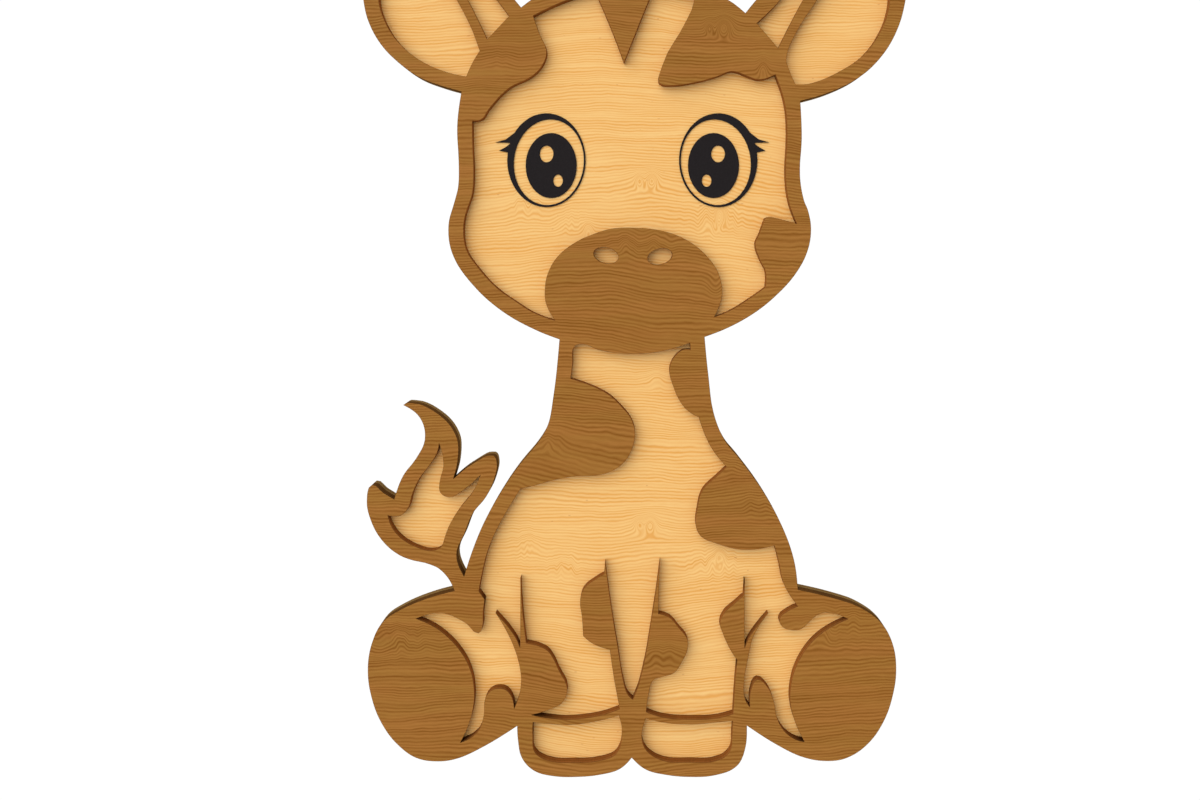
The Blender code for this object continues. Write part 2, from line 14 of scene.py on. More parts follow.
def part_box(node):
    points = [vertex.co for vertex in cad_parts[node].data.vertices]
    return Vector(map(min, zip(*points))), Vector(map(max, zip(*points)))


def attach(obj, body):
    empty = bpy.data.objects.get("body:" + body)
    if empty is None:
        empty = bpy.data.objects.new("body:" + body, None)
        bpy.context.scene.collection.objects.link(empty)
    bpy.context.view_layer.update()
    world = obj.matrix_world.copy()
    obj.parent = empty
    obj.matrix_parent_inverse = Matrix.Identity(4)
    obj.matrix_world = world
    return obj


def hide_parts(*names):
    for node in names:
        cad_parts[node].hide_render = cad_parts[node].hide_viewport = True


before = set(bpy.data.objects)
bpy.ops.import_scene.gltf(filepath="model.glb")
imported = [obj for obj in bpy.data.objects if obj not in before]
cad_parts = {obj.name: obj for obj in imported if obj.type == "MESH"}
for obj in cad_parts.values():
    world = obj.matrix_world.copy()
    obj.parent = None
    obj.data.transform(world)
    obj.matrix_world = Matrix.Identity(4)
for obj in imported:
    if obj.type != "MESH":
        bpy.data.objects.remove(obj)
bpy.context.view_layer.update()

MM = 0.001


def srgb(red, green, blue):
    """Linear colour of 0 to 255 display values."""
    return tuple((v / 12.92 if v <= 0.04045 else ((v + 0.055) / 1.055) ** 2.4)
                 for v in (red / 255, green / 255, blue / 255))


# Camera: straight on, at this distance before the front face
CAMERA_DISTANCE = 323 * MM
CAMERA_HEIGHT = -58.7 * MM
CAMERA_LENS = 29.07
CAMERA_SENSOR = 36.0
CAMERA_SHIFT = (-0.0267, -0.1290)

# Light, as shares of what an open face receives; angles in degrees
AMBIENT = 0.49
KEY_SHARE = 0.55
KEY_TILT = 40.5
KEY_RISE = 40.5
KEY_SPREAD = 78.0
REAR_SHARE = 0.45
REAR_TOWARDS = (0.25, 1.0, 0.1)
REAR_SPREAD = 50.0

# White cove round the object: a floor that bends up into a round wall, under a dome
COVE_GLOW = 1.03
COVE_RADIUS = 3.0
COVE_FLOOR = -0.9
COVE_BEND = 0.8
COVE_DOME_MIDDLE = 1.2
COVE_ARC_STEPS = 8
COVE_SIDES = 48

# Sheets: the eased rim's radius, and the gap left between them
RIM = 0.10 * MM
RIM_STEPS = 3
SHEET_JOINT = 0.01 * MM
# An outline's corner turns more than this, and its edges longer than this are split
CORNER_TURN = math.radians(28)
SMOOTH_FROM = 0.5 * MM
# Steps along an outline, for distances to it
OUTLINE_STEP = 0.33 * MM
# Spacing of the points on a face, which keep off the outline by this share of it
PALE_GRID = 2.0 * MM
DARK_GRID = 4.0 * MM
GRID_CLEAR = 0.55
# A front face's normal has a y below the first, a wall's above the second
FRONT_NORMAL = -0.9
WALL_NORMAL = -0.3
WALL_CREASE = math.radians(34)
WELD = 1e-6
TINY = 1e-9
# Material slots of a sheet: front face, window walls, back face, wall round the outside
FRONT, WALL, BACK, OUTER = 0, 1, 2, 3

# Hanger, screws and pads: the turn that makes an edge, and how wide each edge is eased
FITTING_CREASE = math.radians(30)
FITTING_FLAT = math.radians(1)
FITTING_STEPS = 2
HANGER_EASE = 0.14 * MM
SCREW_EASE = 0.06 * MM
PAD_EASE = 0.12 * MM

# Grain lines: how far apart, and the pace of their zigzag beside a knot
PALE_PITCH = 0.98
PALE_RIPPLE = 0.30
DARK_PITCH = 1.08
DARK_RIPPLE = 0.17
# How far the lines drift from an even pitch, how narrow they are, and the strength of the faintest
LINE_DRIFT = 4.5
LINE_POWER = 1.4
FAINTEST_LINE = 0.3
# Shares of the lines, bands and fibres in the figure
PALE_FIGURE = (0.74, 0.18, 0.16)
DARK_FIGURE = (0.66, 0.22, 0.20)
# Each pattern of noise starts at its own place
PALE_SEED = 1.0
DARK_SEED = 11.0
BACK_SEED = 31.0
# What bends the lines everywhere: height, pace across, pace up, seed
SWELLS = ((12.0, 0.011, 0.024, 0.0), (3.6, 0.045, 0.08, 5.0), (0.7, 0.22, 0.26, 7.0))
# Knots: x and z of the middle, half width, half height, how far the lines are lifted over the knot, and
# how far they zigzag beside it
PALE_KNOTS = (
    (2.5, -36.6, 1.4, 2.2, 4.2, 0.0), (6.7, -36.4, 1.9, 2.7, 5.2, 0.0),
    (4.7, -37.0, 7.0, 4.5, 1.6, 1.0), (29.6, -48.2, 1.8, 2.8, 5.0, 0.0),
    (28.3, -50.3, 7.5, 5.0, 2.0, 10.0), (-20.7, -50.5, 5.0, 4.5, 1.8, 9.0),
    (-14.7, -54.0, 1.4, 3.2, 3.2, 0.0), (-35.7, -44.0, 4.0, 4.5, 1.8, 9.0),
    (-35.7, -159.7, 4.0, 5.0, 1.8, 10.0), (-23.0, -166.3, 5.5, 4.2, 2.2, 9.0),
    (2.5, -152.4, 1.4, 2.2, 4.2, 0.0), (6.2, -152.4, 1.9, 2.7, 5.2, 0.0),
    (4.4, -153.0, 7.0, 4.5, 1.6, 1.0), (29.6, -163.0, 1.8, 2.8, 5.0, 0.0),
    (28.3, -165.5, 7.5, 5.0, 2.0, 10.0), (7.7, -103.7, 4.0, 3.5, 2.4, 5.0),
    (4.0, -52.0, 22.0, 12.0, 3.0, 0.0),
)
DARK_KNOTS = (
    (25.8, 14.2, 1.4, 2.4, 4.6, 0.0), (30.7, 14.6, 2.5, 3.3, 8.2, 0.0),
    (28.3, 13.0, 8.0, 6.0, 1.4, 0.0), (43.7, 0.6, 1.5, 3.4, 3.8, 0.0),
    (43.7, 0.3, 6.0, 3.5, 1.0, 1.0), (2.7, -57.0, 10.0, 5.0, 0.8, 13.0),
    (27.7, -72.0, 2.5, 5.0, -2.6, 2.0), (42.7, -145.3, 5.0, 4.0, 2.0, 7.0),
    (31.0, -132.0, 4.0, 4.0, 2.0, 7.0), (10.0, -195.0, 6.0, 5.0, 1.9, 9.0),
    (-27.3, -123.7, 4.0, 4.0, 2.2, 7.0), (-77.3, -190.0, 10.0, 5.5, 0.0, 15.0),
    (67.7, -186.5, 10.0, 5.5, 0.0, 15.0), (-44.0, 3.0, 4.0, 4.0, 2.0, 6.0),
)
BACK_KNOTS = DARK_KNOTS[3:6]
# Where the lines lie wider apart: x and z of the middle, half width, reach up and down, share of lines lost
PALE_CALM = ((0.0, -48.0, 60.0, 7.0, 0.35), (0.0, -133.0, 50.0, 10.0, 0.35))
DARK_CALM = ((0.0, -74.0, 30.0, 13.0, 0.12), (-15.0, -125.0, 22.0, 9.0, 0.25))

# Cut walls, by depth behind the sheet's front face: the core ply's middle, where its half thickness
# ends softly and how far it waves; where the front's dark lip fades, and where the back's starts
CORE_MIDDLE = 1.5
CORE_HALF = (0.42, 0.62)
CORE_WAVE = 0.3
FRONT_LIP = (0.15, 0.6)
BACK_LIP = (2.35, 2.8)
# Soot and painted shade in the narrow tips of the dark sheet's windows: x and z of the middle, reach
TIP_SOOT_AND_SHADE = (
    (-33.5, -215.3, 6.0), (-7.4, -193.6, 2.0), (57.4, -224.2, 4.0), (-57.2, -224.5, 3.0),
    (37.6, -170.0, 3.0), (-48.7, -177.0, 3.0), (35.0, -197.0, 2.5),
)

# Colours
PALE_LIGHT = srgb(247, 203, 132)
PALE_LINE = srgb(229, 159, 73)
PALE_SPECK = srgb(196, 120, 62)
PALE_CLOUD = srgb(246, 198, 124)
BACK_LIGHT = srgb(242, 196, 130)
BACK_LINE = srgb(208, 150, 84)
BACK_BURN = srgb(112, 72, 38)
BACK_STAIN = srgb(196, 150, 98)
STAIN_RED = srgb(173, 117, 57)
STAIN_OLIVE = srgb(166, 118, 54)
STAIN_LINE = srgb(127, 77, 22)
STAIN_CLOUD = srgb(158, 103, 42)
# Walls: outer plies, core ply, char
OLIVE_WALL = (srgb(172, 138, 86), srgb(146, 112, 64), srgb(100, 72, 36))
UMBER_WALL = (srgb(163, 105, 51), srgb(145, 91, 41), srgb(93, 57, 25))
# The dark sheet's wall round the outside: a darker copy of its window walls, painted shade
SHADED_OUTER_WALL = (srgb(124, 84, 41), srgb(110, 72, 33), srgb(63, 39, 18))
# Near black for the narrow tips: soot and painted shade
SOOT_AND_SHADE_BLACK = srgb(38, 18, 7)
FILM_BLACK = srgb(30, 26, 27)
FILM_GREY = srgb(38, 34, 35)
PLATE_BRIGHT = srgb(205, 205, 200)
PLATE_DULL = srgb(176, 176, 170)
SCREW_BRIGHT = srgb(218, 216, 208)
SCREW_DULL = srgb(190, 186, 176)
ZINC_STREAK = srgb(120, 118, 112)
ZINC_PATINA = srgb(104, 92, 74)
RUBBER_DARK = srgb(46, 46, 47)
RUBBER_GREY = srgb(62, 62, 62)
RUBBER_DUST = srgb(120, 114, 104)


class Net:
    """The nodes of one material, with lengths in millimetres."""

    def __init__(self, name):
        self.material = bpy.data.materials.new(name)
        self.material.use_nodes = True
        self.nodes = self.material.node_tree.nodes
        self.links = self.material.node_tree.links
        self.bsdf = self.nodes["Principled BSDF"]
        coordinates = self.nodes.new("ShaderNodeTexCoord").outputs
        scaled = self.nodes.new("ShaderNodeVectorMath")
        scaled.operation = "SCALE"
        self.links.new(coordinates["Object"], scaled.inputs[0])
        scaled.inputs["Scale"].default_value = 1 / MM
        split = self.nodes.new("ShaderNodeSeparateXYZ")
        self.links.new(scaled.outputs[0], split.inputs[0])
        self.x, self.y, self.z = split.outputs
        facing = self.nodes.new("ShaderNodeSeparateXYZ")
        self.links.new(coordinates["Normal"], facing.inputs[0])
        self.facing_up = facing.outputs[2]

    def put(self, socket, value):
        if isinstance(value, bpy.types.NodeSocket):
            self.links.new(value, socket)
        elif isinstance(value, tuple) and len(value) == 3 and socket.type == "RGBA":
            socket.default_value = (*value, 1.0)
        else:
            socket.default_value = value

    def math(self, operation, *values):
        node = self.nodes.new("ShaderNodeMath")
        node.operation = operation
        for socket, value in zip(node.inputs, values):
            self.put(socket, value)
        return node.outputs[0]

    def add(self, a, b):
        return self.math("ADD", a, b)

    def subtract(self, a, b):
        return self.math("SUBTRACT", a, b)

    def mul(self, a, b):
        return self.math("MULTIPLY", a, b)

    def noise(self, x, y, z, detail, roughness=0.5):
        """Noise from 0 to 1, its features about one unit wide."""
        place = self.nodes.new("ShaderNodeCombineXYZ")
        for socket, value in zip(place.inputs, (x, y, z)):
            self.put(socket, value)
        node = self.nodes.new("ShaderNodeTexNoise")
        self.put(node.inputs["Vector"], place.outputs[0])
        node.inputs["Scale"].default_value = 1.0
        node.inputs["Detail"].default_value = detail
        node.inputs["Roughness"].default_value = roughness
        return node.outputs[0]

    def face_noise(self, across, up, seed, detail, roughness=0.5):
        """Noise on a sheet's face, at a pace across and a pace up."""
        return self.noise(self.mul(self.x, across), seed, self.mul(self.z, up), detail, roughness)

    def solid_noise(self, across, deep, up, detail, roughness=0.5):
        """Noise through the solid, at a pace across, one from front to back and one up."""
        x, y, z = self.mul(self.x, across), self.mul(self.y, deep), self.mul(self.z, up)
        return self.noise(x, y, z, detail, roughness)

    def hill(self, x, z, half_width, half_height):
        """1 at a place on the face, fading to 0 past the half sizes."""
        across = self.mul(self.subtract(self.x, x), 1 / half_width)
        up = self.mul(self.subtract(self.z, z), 1 / half_height)
        square = self.add(self.mul(across, across), self.mul(up, up))
        return self.math("EXPONENT", self.mul(square, -1.0))

    def rising(self, value, low, high):
        """0 below low, 1 above high, smooth between."""
        node = self.nodes.new("ShaderNodeMapRange")
        node.interpolation_type = "SMOOTHSTEP"
        self.put(node.inputs["Value"], value)
        node.inputs["From Min"].default_value = low
        node.inputs["From Max"].default_value = high
        return node.outputs[0]

    def falling(self, value, low, high):
        """1 below low, 0 above high, smooth between."""
        return self.subtract(1.0, self.rising(value, low, high))

    def mix(self, share, a, b):
        node = self.nodes.new("ShaderNodeMix")
        node.data_type = "RGBA"
        self.put(node.inputs[0], share)
        self.put(node.inputs[6], a)
        self.put(node.inputs[7], b)
        return node.outputs[2]

    def tint(self, colour, other, where, share):
        """The colour with a share of another one laid over it where a mask is 1."""
        return self.mix(self.mul(where, share), colour, other)

    def bump(self, height, depth, strength):
        node = self.nodes.new("ShaderNodeBump")
        self.put(node.inputs["Height"], height)
        node.inputs["Distance"].default_value = depth * MM
        node.inputs["Strength"].default_value = strength
        self.links.new(node.outputs[0], self.bsdf.inputs["Normal"])

    def finish(self, colour, roughness, metallic=0.0, specular=0.5):
        self.put(self.bsdf.inputs["Base Color"], colour)
        self.put(self.bsdf.inputs["Roughness"], roughness)
        self.bsdf.inputs["Metallic"].default_value = metallic
        self.bsdf.inputs["Specular IOR Level"].default_value = specular
        return self.material


def line_height(net, knots, calm, seed, ripple):
    """The height of each place's grain line: its own height, bent by swells, calm zones and knots."""
    height = net.z
    for swell, across, up, shift in SWELLS:
        height = net.add(height, net.mul(net.face_noise(across, up, seed + shift, detail=1.0), swell))
    for x, z, half_width, reach, share in calm:
        across = net.mul(net.subtract(net.x, x), 1 / half_width)
        near = net.math("EXPONENT", net.mul(net.mul(across, across), -1.0))
        away = net.math("TANH", net.mul(net.subtract(net.z, z), 1 / reach))
        height = net.add(height, net.mul(net.mul(away, near), -share * reach))
    zigzag = net.subtract(net.face_noise(ripple, 0.04, seed + 9.0, detail=1.0), 0.5)
    for x, z, half_width, half_height, lift, swing in knots:
        near = net.hill(x, z, half_width, half_height)
        height = net.add(height, net.mul(near, net.add(net.mul(zigzag, swing), -lift)))
    return height


def grain(net, knots, calm, seed, pitch, ripple):
    """Masks of the wood's figure: dark growth lines a pitch apart, broad bands, and fine fibres."""
    height = line_height(net, knots, calm, seed, ripple)

    def along_lines(across, up, shift, detail, roughness=0.5):
        return net.noise(net.mul(net.x, across), seed + shift, net.mul(height, up), detail, roughness)

    drift = net.mul(along_lines(0.008, 0.11, 12.0, detail=1.0), LINE_DRIFT)
    phase = net.mul(net.add(height, drift), 2 * math.pi / pitch)
    line = net.math("POWER", net.add(net.mul(net.math("SINE", phase), 0.5), 0.5), LINE_POWER)
    strength = net.rising(along_lines(0.03, 0.5, 3.0, detail=1.0), 0.28, 0.62)
    lines = net.mul(line, net.add(net.mul(strength, 1 - FAINTEST_LINE), FAINTEST_LINE))
    bands = net.rising(along_lines(0.009, 0.36, 4.0, detail=2.0), 0.3, 0.7)
    fibres = along_lines(0.22, 3.6, 6.0, detail=2.0, roughness=0.6)
    return lines, bands, fibres


def figure(net, lines, bands, fibres, shares):
    """The grain's masks as one, from the light wood to the dark line."""
    fine = net.mul(net.rising(fibres, 0.3, 0.7), shares[2])
    return net.add(net.mul(lines, shares[0]), net.add(net.mul(bands, shares[1]), fine))


def scorched(net, colour):
    """A back face's colour, browned by the laser along its edges and stained in places."""
    edge = net.nodes.new("ShaderNodeAttribute")
    edge.attribute_name = "edge_mm"
    patchy = net.face_noise(0.09, 0.09, seed=3.0, detail=3.0, roughness=0.6)
    reach = net.add(edge.outputs["Fac"], net.mul(patchy, -2.4))
    colour = net.tint(colour, BACK_BURN, net.falling(reach, -0.9, 1.3), share=0.72)
    blotch = net.rising(net.face_noise(0.035, 0.05, seed=8.0, detail=3.0), 0.56, 0.8)
    return net.tint(colour, BACK_STAIN, blotch, share=0.25)


def pale_face(name, light, line, knots, seed, scorch=False):
    net = Net(name)
    lines, bands, fibres = grain(net, knots, PALE_CALM, seed, PALE_PITCH, PALE_RIPPLE)
    colour = net.mix(figure(net, lines, bands, fibres, PALE_FIGURE), light, line)
    speck = net.face_noise(0.5, 1.4, seed + 17.0, detail=0.0)
    colour = net.tint(colour, PALE_SPECK, net.rising(speck, 0.80, 0.86), share=0.5)
    cloud = net.face_noise(0.018, 0.03, seed + 20.0, detail=2.0)
    colour = net.tint(colour, PALE_CLOUD, net.rising(cloud, 0.3, 0.75), share=0.18)
    if scorch:
        colour = scorched(net, colour)
    net.bump(net.add(net.mul(lines, -0.5), net.mul(fibres, -0.5)), depth=0.04, strength=0.5)
    return net.finish(colour, net.add(0.58, net.mul(lines, 0.12)), specular=0.12)


def dark_face(name, seed):
    net = Net(name)
    lines, bands, fibres = grain(net, DARK_KNOTS, DARK_CALM, seed, DARK_PITCH, DARK_RIPPLE)
    hue = net.face_noise(0.02, 0.22, seed + 30.0, detail=2.0)
    light = net.mix(net.rising(hue, 0.3, 0.7), STAIN_RED, STAIN_OLIVE)
    colour = net.mix(figure(net, lines, bands, fibres, DARK_FIGURE), light, STAIN_LINE)
    cloud = net.face_noise(0.02, 0.03, seed + 20.0, detail=2.0)
    colour = net.tint(colour, STAIN_CLOUD, net.rising(cloud, 0.35, 0.75), share=0.2)
    net.bump(net.add(net.mul(lines, -0.5), net.mul(fibres, -0.6)), depth=0.05, strength=0.5)
    return net.finish(colour, net.add(0.56, net.mul(lines, 0.14)), specular=0.06)


def cut_wall(name, face_y, outer_ply, core_ply, char, soot_and_shade=()):
    """A laser-cut edge: three plies, browned by the cut, darker on its lips, with soot and painted shade in
    narrow tips.
    """
    net = Net(name)
    depth = net.subtract(net.y, face_y / MM)
    wavy = net.mul(net.face_noise(0.12, 0.12, seed=2.0, detail=2.0), CORE_WAVE)
    layer = net.math("ABSOLUTE", net.subtract(net.add(depth, wavy), CORE_MIDDLE + CORE_WAVE / 2))
    colour = net.mix(net.falling(layer, *CORE_HALF), outer_ply, core_ply)
    marks = net.solid_noise(2.6, 0.25, 2.6, detail=2.0, roughness=0.6)
    colour = net.tint(colour, char, net.rising(marks, 0.4, 0.75), share=0.25)
    patches = net.face_noise(0.10, 0.10, seed=4.0, detail=1.0)
    colour = net.tint(colour, char, net.rising(patches, 0.4, 0.8), share=0.35)
    lips = net.add(net.falling(depth, *FRONT_LIP), net.rising(depth, *BACK_LIP))
    colour = net.tint(colour, char, lips, share=0.5)
    # Painted shade: the wall is darkened where it faces up
    painted_shade_facing_up = net.rising(net.facing_up, 0.1, 0.9)
    colour = net.tint(colour, char, painted_shade_facing_up, share=0.3)
    # Soot and painted shade, near black, in the windows' narrow tips
    for x, z, reach in soot_and_shade:
        colour = net.tint(colour, SOOT_AND_SHADE_BLACK, net.hill(x, z, reach, reach), share=0.8)
    net.bump(marks, depth=0.08, strength=0.5)
    return net.finish(colour, roughness=0.85, specular=0.0)


def black_film():
    net = Net("black_film")
    specks = net.solid_noise(3.0, 3.0, 3.0, detail=3.0, roughness=0.6)
    weave = net.face_noise(0.4, 3.0, seed=1.0, detail=2.0)
    colour = net.mix(net.rising(specks, 0.35, 0.75), FILM_BLACK, FILM_GREY)
    net.bump(net.add(specks, weave), depth=0.02, strength=0.4)
    return net.finish(colour, net.add(0.68, net.mul(weave, 0.12)), specular=0.08)


def zinc(name, bright, dull, streak):
    """Plated steel with rolling marks, a cloudy shine and small spots of patina."""
    net = Net(name)
    rolled = net.solid_noise(0.25, 2.0, 7.0, detail=3.0, roughness=0.6)
    cloud = net.solid_noise(0.3, 0.3, 0.3, detail=3.0, roughness=0.6)
    spots = net.solid_noise(1.6, 1.6, 1.6, detail=2.0)
    colour = net.mix(net.rising(cloud, 0.35, 0.7), bright, dull)
    colour = net.tint(colour, ZINC_STREAK, net.rising(rolled, 0.4, 0.75), streak)
    colour = net.tint(colour, ZINC_PATINA, net.rising(spots, 0.62, 0.8), share=0.5)
    net.bump(rolled, depth=0.02, strength=0.5)
    return net.finish(colour, net.add(0.30, net.mul(cloud, 0.22)), metallic=1.0)


def rubber():
    net = Net("pad_rubber")
    grit = net.solid_noise(2.4, 2.4, 2.4, detail=3.0, roughness=0.65)
    dust = net.solid_noise(0.5, 0.5, 0.5, detail=3.0, roughness=0.6)
    colour = net.mix(net.rising(grit, 0.35, 0.7), RUBBER_DARK, RUBBER_GREY)
    colour = net.tint(colour, RUBBER_DUST, net.rising(dust, 0.5, 0.8), share=0.45)
    net.bump(grit, depth=0.05, strength=0.7)
    return net.finish(colour, net.add(0.66, net.mul(dust, 0.2)), specular=0.3)


def area(points):
    """The area within a loop, above 0 when it runs anticlockwise."""
    x, z = points.T
    return 0.5 * float(np.sum(x * np.roll(z, -1) - np.roll(x, -1) * z))


def front_edges(work):
    """For each vertex round a sheet's front face, the two beside it along the edge."""
    beside = {}
    for edge in work.edges:
        ahead = [face.normal.y for face in edge.link_faces]
        if len(ahead) == 2 and min(ahead) < FRONT_NORMAL and max(ahead) > WALL_NORMAL:
            a, b = edge.verts
            beside.setdefault(a.index, []).append(b.index)
            beside.setdefault(b.index, []).append(a.index)
    return beside


def outline_loops(node):
    """Loops of x, z round a sheet's front face: the outer one, anticlockwise, then its holes, clockwise."""
    work = bmesh.new()
    work.from_mesh(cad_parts[node].data)
    bmesh.ops.remove_doubles(work, verts=work.verts, dist=WELD)
    work.normal_update()
    beside = front_edges(work)
    places = {vert.index: (vert.co.x, vert.co.z) for vert in work.verts}
    work.free()
    loops = []
    while beside:
        start = min(beside)
        loop = [start]
        before, here = None, start
        while True:
            ways = [n for n in beside[here] if n != before]
            before, here = here, ways[0]
            if here == start:
                break
            loop.append(here)
        for index in loop:
            del beside[index]
        loops.append(np.array([places[index] for index in loop]))
    loops.sort(key=lambda points: -abs(area(points)))
    return [points if (area(points) > 0) == (i == 0) else points[::-1] for i, points in enumerate(loops)]


def turns(points):
    """How far the outline turns at each point, in radians."""
    ahead = np.roll(points, -1, 0) - points
    behind = points - np.roll(points, 1, 0)
    cross = behind[:, 0] * ahead[:, 1] - behind[:, 1] * ahead[:, 0]
    return np.arctan2(cross, (behind * ahead).sum(1))


def smoothed(points):
    """The outline with its longer edges split, on a curve through four points, straight beside corners."""
    corner = np.abs(turns(points)) > CORNER_TURN
    made = []
    count = len(points)
    for i in range(count):
        j = (i + 1) % count
        a, b = points[i], points[j]
        before = 2 * a - b if corner[i] else points[i - 1]
        after = 2 * b - a if corner[j] else points[(j + 1) % count]
        made.append(a)
        if np.linalg.norm(b - a) > SMOOTH_FROM:
            made.append((9 * (a + b) - before - after) / 16)
    return np.array(made)


def inset(points, distance):
    """The loop moved into the wood by distance, at most twice that far at a sharp corner."""
    ahead = np.roll(points, -1, 0) - points
    ahead /= np.linalg.norm(ahead, axis=1)[:, None]
    behind = np.roll(ahead, 1, 0)
    inward = np.stack([-(ahead + behind)[:, 1], (ahead + behind)[:, 0]], 1)
    size = np.linalg.norm(inward, axis=1)[:, None]
    inward = inward / np.maximum(size, TINY)
    stretch = 1 / np.clip(size[:, 0] / 2, 0.5, 1.0)
    return points + inward * (distance * stretch)[:, None]


def inside(points, loops):
    """For each point, whether it is within the wood."""
    found = np.zeros(len(points), bool)
    px, pz = points[:, 0], points[:, 1]
    for loop in loops:
        for a, b in zip(loop, np.roll(loop, -1, 0)):
            crossing = (a[1] > pz) != (b[1] > pz)
            if b[1] != a[1]:
                found ^= crossing & (px < (b[0] - a[0]) * (pz - a[1]) / (b[1] - a[1]) + a[0])
    return found


def edge_tree(loops):
    """A search tree of points along every outline, one outline step apart or less."""
    places = []
    for loop in loops:
        for a, b in zip(loop, np.roll(loop, -1, 0)):
            steps = int(np.linalg.norm(b - a) / OUTLINE_STEP) + 1
            places += [a + (b - a) * k / steps for k in range(steps)]
    tree = kdtree.KDTree(len(places))
    for i, place in enumerate(places):
        tree.insert((place[0], 0.0, place[1]), i)
    tree.balance()
    return tree


def from_edge(tree, x, z):
    return tree.find((x, 0.0, z))[2]


def grid_points(loops, tree, spacing):
    """Points of a triangular grid within the wood, clear of its edges."""
    low = loops[0].min(0)
    high = loops[0].max(0)
    rows = np.arange(low[1], high[1], spacing * math.sqrt(3) / 2)
    columns = np.arange(low[0], high[0], spacing)
    places = np.array([(x + spacing / 2 * (i % 2), z) for i, z in enumerate(rows) for x in columns])
    return [p for p in places[inside(places, loops)] if from_edge(tree, *p) > spacing * GRID_CLEAR]


def rim_profile(front_y, back_y):
    """How far in and at what y each ring of a wall lies, from one eased rim to the other."""
    front = []
    for i in range(RIM_STEPS + 1):
        angle = math.pi / 2 * i / RIM_STEPS
        front.append((RIM * (1 - math.sin(angle)), front_y + RIM * (1 - math.cos(angle))))
    return front + [(offset, back_y + front_y - y) for offset, y in reversed(front)]


def add_walls(work, loops, profile):
    """The cut walls, as rings of vertices from the front to the back."""
    rings = []
    for offset, y in profile:
        rings.append([[work.verts.new((x, y, z)) for x, z in inset(loop, offset)] for loop in loops])
    for upper, lower in zip(rings, rings[1:]):
        for k, (ring_a, ring_b) in enumerate(zip(upper, lower)):
            count = len(ring_a)
            for i in range(count):
                j = (i + 1) % count
                face = work.faces.new((ring_a[i], ring_a[j], ring_b[j], ring_b[i]))
                face.material_index = WALL if k else OUTER
    return rings


def add_flats(work, rings, loops, extra, faces):
    """The two flat faces: the same triangles on the first ring and on the last."""
    rim = [inset(loop, RIM) for loop in loops]
    edges = []
    start = 0
    for loop in rim:
        edges += [(start + i, start + (i + 1) % len(loop)) for i in range(len(loop))]
        start += len(loop)
    flat = [Vector(p) for loop in rim for p in loop] + [Vector(p) for p in extra]
    places, _, triangles, origins = geometry.delaunay_2d_cdt(flat, edges, [], 0, TINY)[:4]
    places = np.array([tuple(p) for p in places])
    triangles = np.array(triangles)
    kept = triangles[inside(places[triangles].mean(1), rim)]
    for ring, (y, slot) in zip((rings[0], rings[-1]), faces):
        known = [vert for loop in ring for vert in loop]
        verts = []
        for place, sources in zip(places, origins):
            old = [s for s in sources if s < len(known)]
            verts.append(known[old[0]] if old else work.verts.new((place[0], y, place[1])))
        for triangle in kept:
            order = triangle if slot == FRONT else triangle[::-1]
            corners = [verts[i] for i in order]
            if len(set(corners)) == 3:
                work.faces.new(corners).material_index = slot


def shade_sheet(work):
    """Smooth shading, creased where a flat face meets its rim and at the outline's corners."""
    for face in work.faces:
        face.smooth = True
    for edge in work.edges:
        if len(edge.link_faces) == 2:
            a, b = (face.material_index in (FRONT, BACK) for face in edge.link_faces)
            edge.smooth = a == b and edge.calc_face_angle(0.0) <= WALL_CREASE


def add_item(name, data):
    item = bpy.data.objects.new(name, data)
    bpy.context.scene.collection.objects.link(item)
    return item


def sheet(name, node, front_y, back_y, spacing):
    """A laser-cut sheet from a node's outline, its rims eased, as a mesh with a slot for each side."""
    loops = [smoothed(points) for points in outline_loops(node)]
    tree = edge_tree(loops)
    work = bmesh.new()
    rings = add_walls(work, loops, rim_profile(front_y, back_y))
    extra = grid_points(loops, tree, spacing)
    add_flats(work, rings, loops, extra, ((front_y, FRONT), (back_y, BACK)))
    loose = [vert for vert in work.verts if not vert.link_faces]
    bmesh.ops.delete(work, geom=loose, context="VERTS")
    bmesh.ops.recalc_face_normals(work, faces=work.faces)
    shade_sheet(work)
    mesh = bpy.data.meshes.new(name)
    work.to_mesh(mesh)
    work.free()
    distance = mesh.attributes.new("edge_mm", "FLOAT", "POINT")
    distance.data.foreach_set("value", [from_edge(tree, v.co.x, v.co.z) / MM for v in mesh.vertices])
    return add_item(name, mesh)


def rounded(name, node, width):
    """A copy of a CAD node with eased edges."""
    work = bmesh.new()
    work.from_mesh(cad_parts[node].data)
    bmesh.ops.remove_doubles(work, verts=work.verts, dist=WELD)
    bmesh.ops.dissolve_limit(work, angle_limit=FITTING_FLAT, verts=work.verts, edges=work.edges)
    for face in work.faces:
        face.smooth = True
    for edge in work.edges:
        edge.smooth = edge.calc_face_angle(0.0) < FITTING_CREASE
    mesh = bpy.data.meshes.new(name)
    work.to_mesh(mesh)
    work.free()
    piece = add_item(name, mesh)
    bevel = piece.modifiers.new("eased", "BEVEL")
    bevel.width = width
    bevel.segments = FITTING_STEPS
    bevel.limit_method = "ANGLE"
    bevel.angle_limit = FITTING_CREASE
    bevel.harden_normals = True
    return piece


def stand_for(piece, node, materials):
    """The piece rides on the one body and takes a CAD node's place."""
    for material in materials:
        piece.data.materials.append(material)
    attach(piece, "root")
    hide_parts(node)


def build_pale_sheet():
    front_y, back_y = (corner.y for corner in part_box("back_panel"))
    front = pale_face("pale_ply_face", PALE_LIGHT, PALE_LINE, PALE_KNOTS, PALE_SEED)
    back = pale_face("pale_ply_back", BACK_LIGHT, BACK_LINE, BACK_KNOTS, BACK_SEED, scorch=True)
    wall = cut_wall("pale_cut_edge", front_y, *OLIVE_WALL)
    pale = sheet("pale_sheet", "back_panel", front_y, back_y, PALE_GRID)
    stand_for(pale, "back_panel", (front, wall, back, wall))


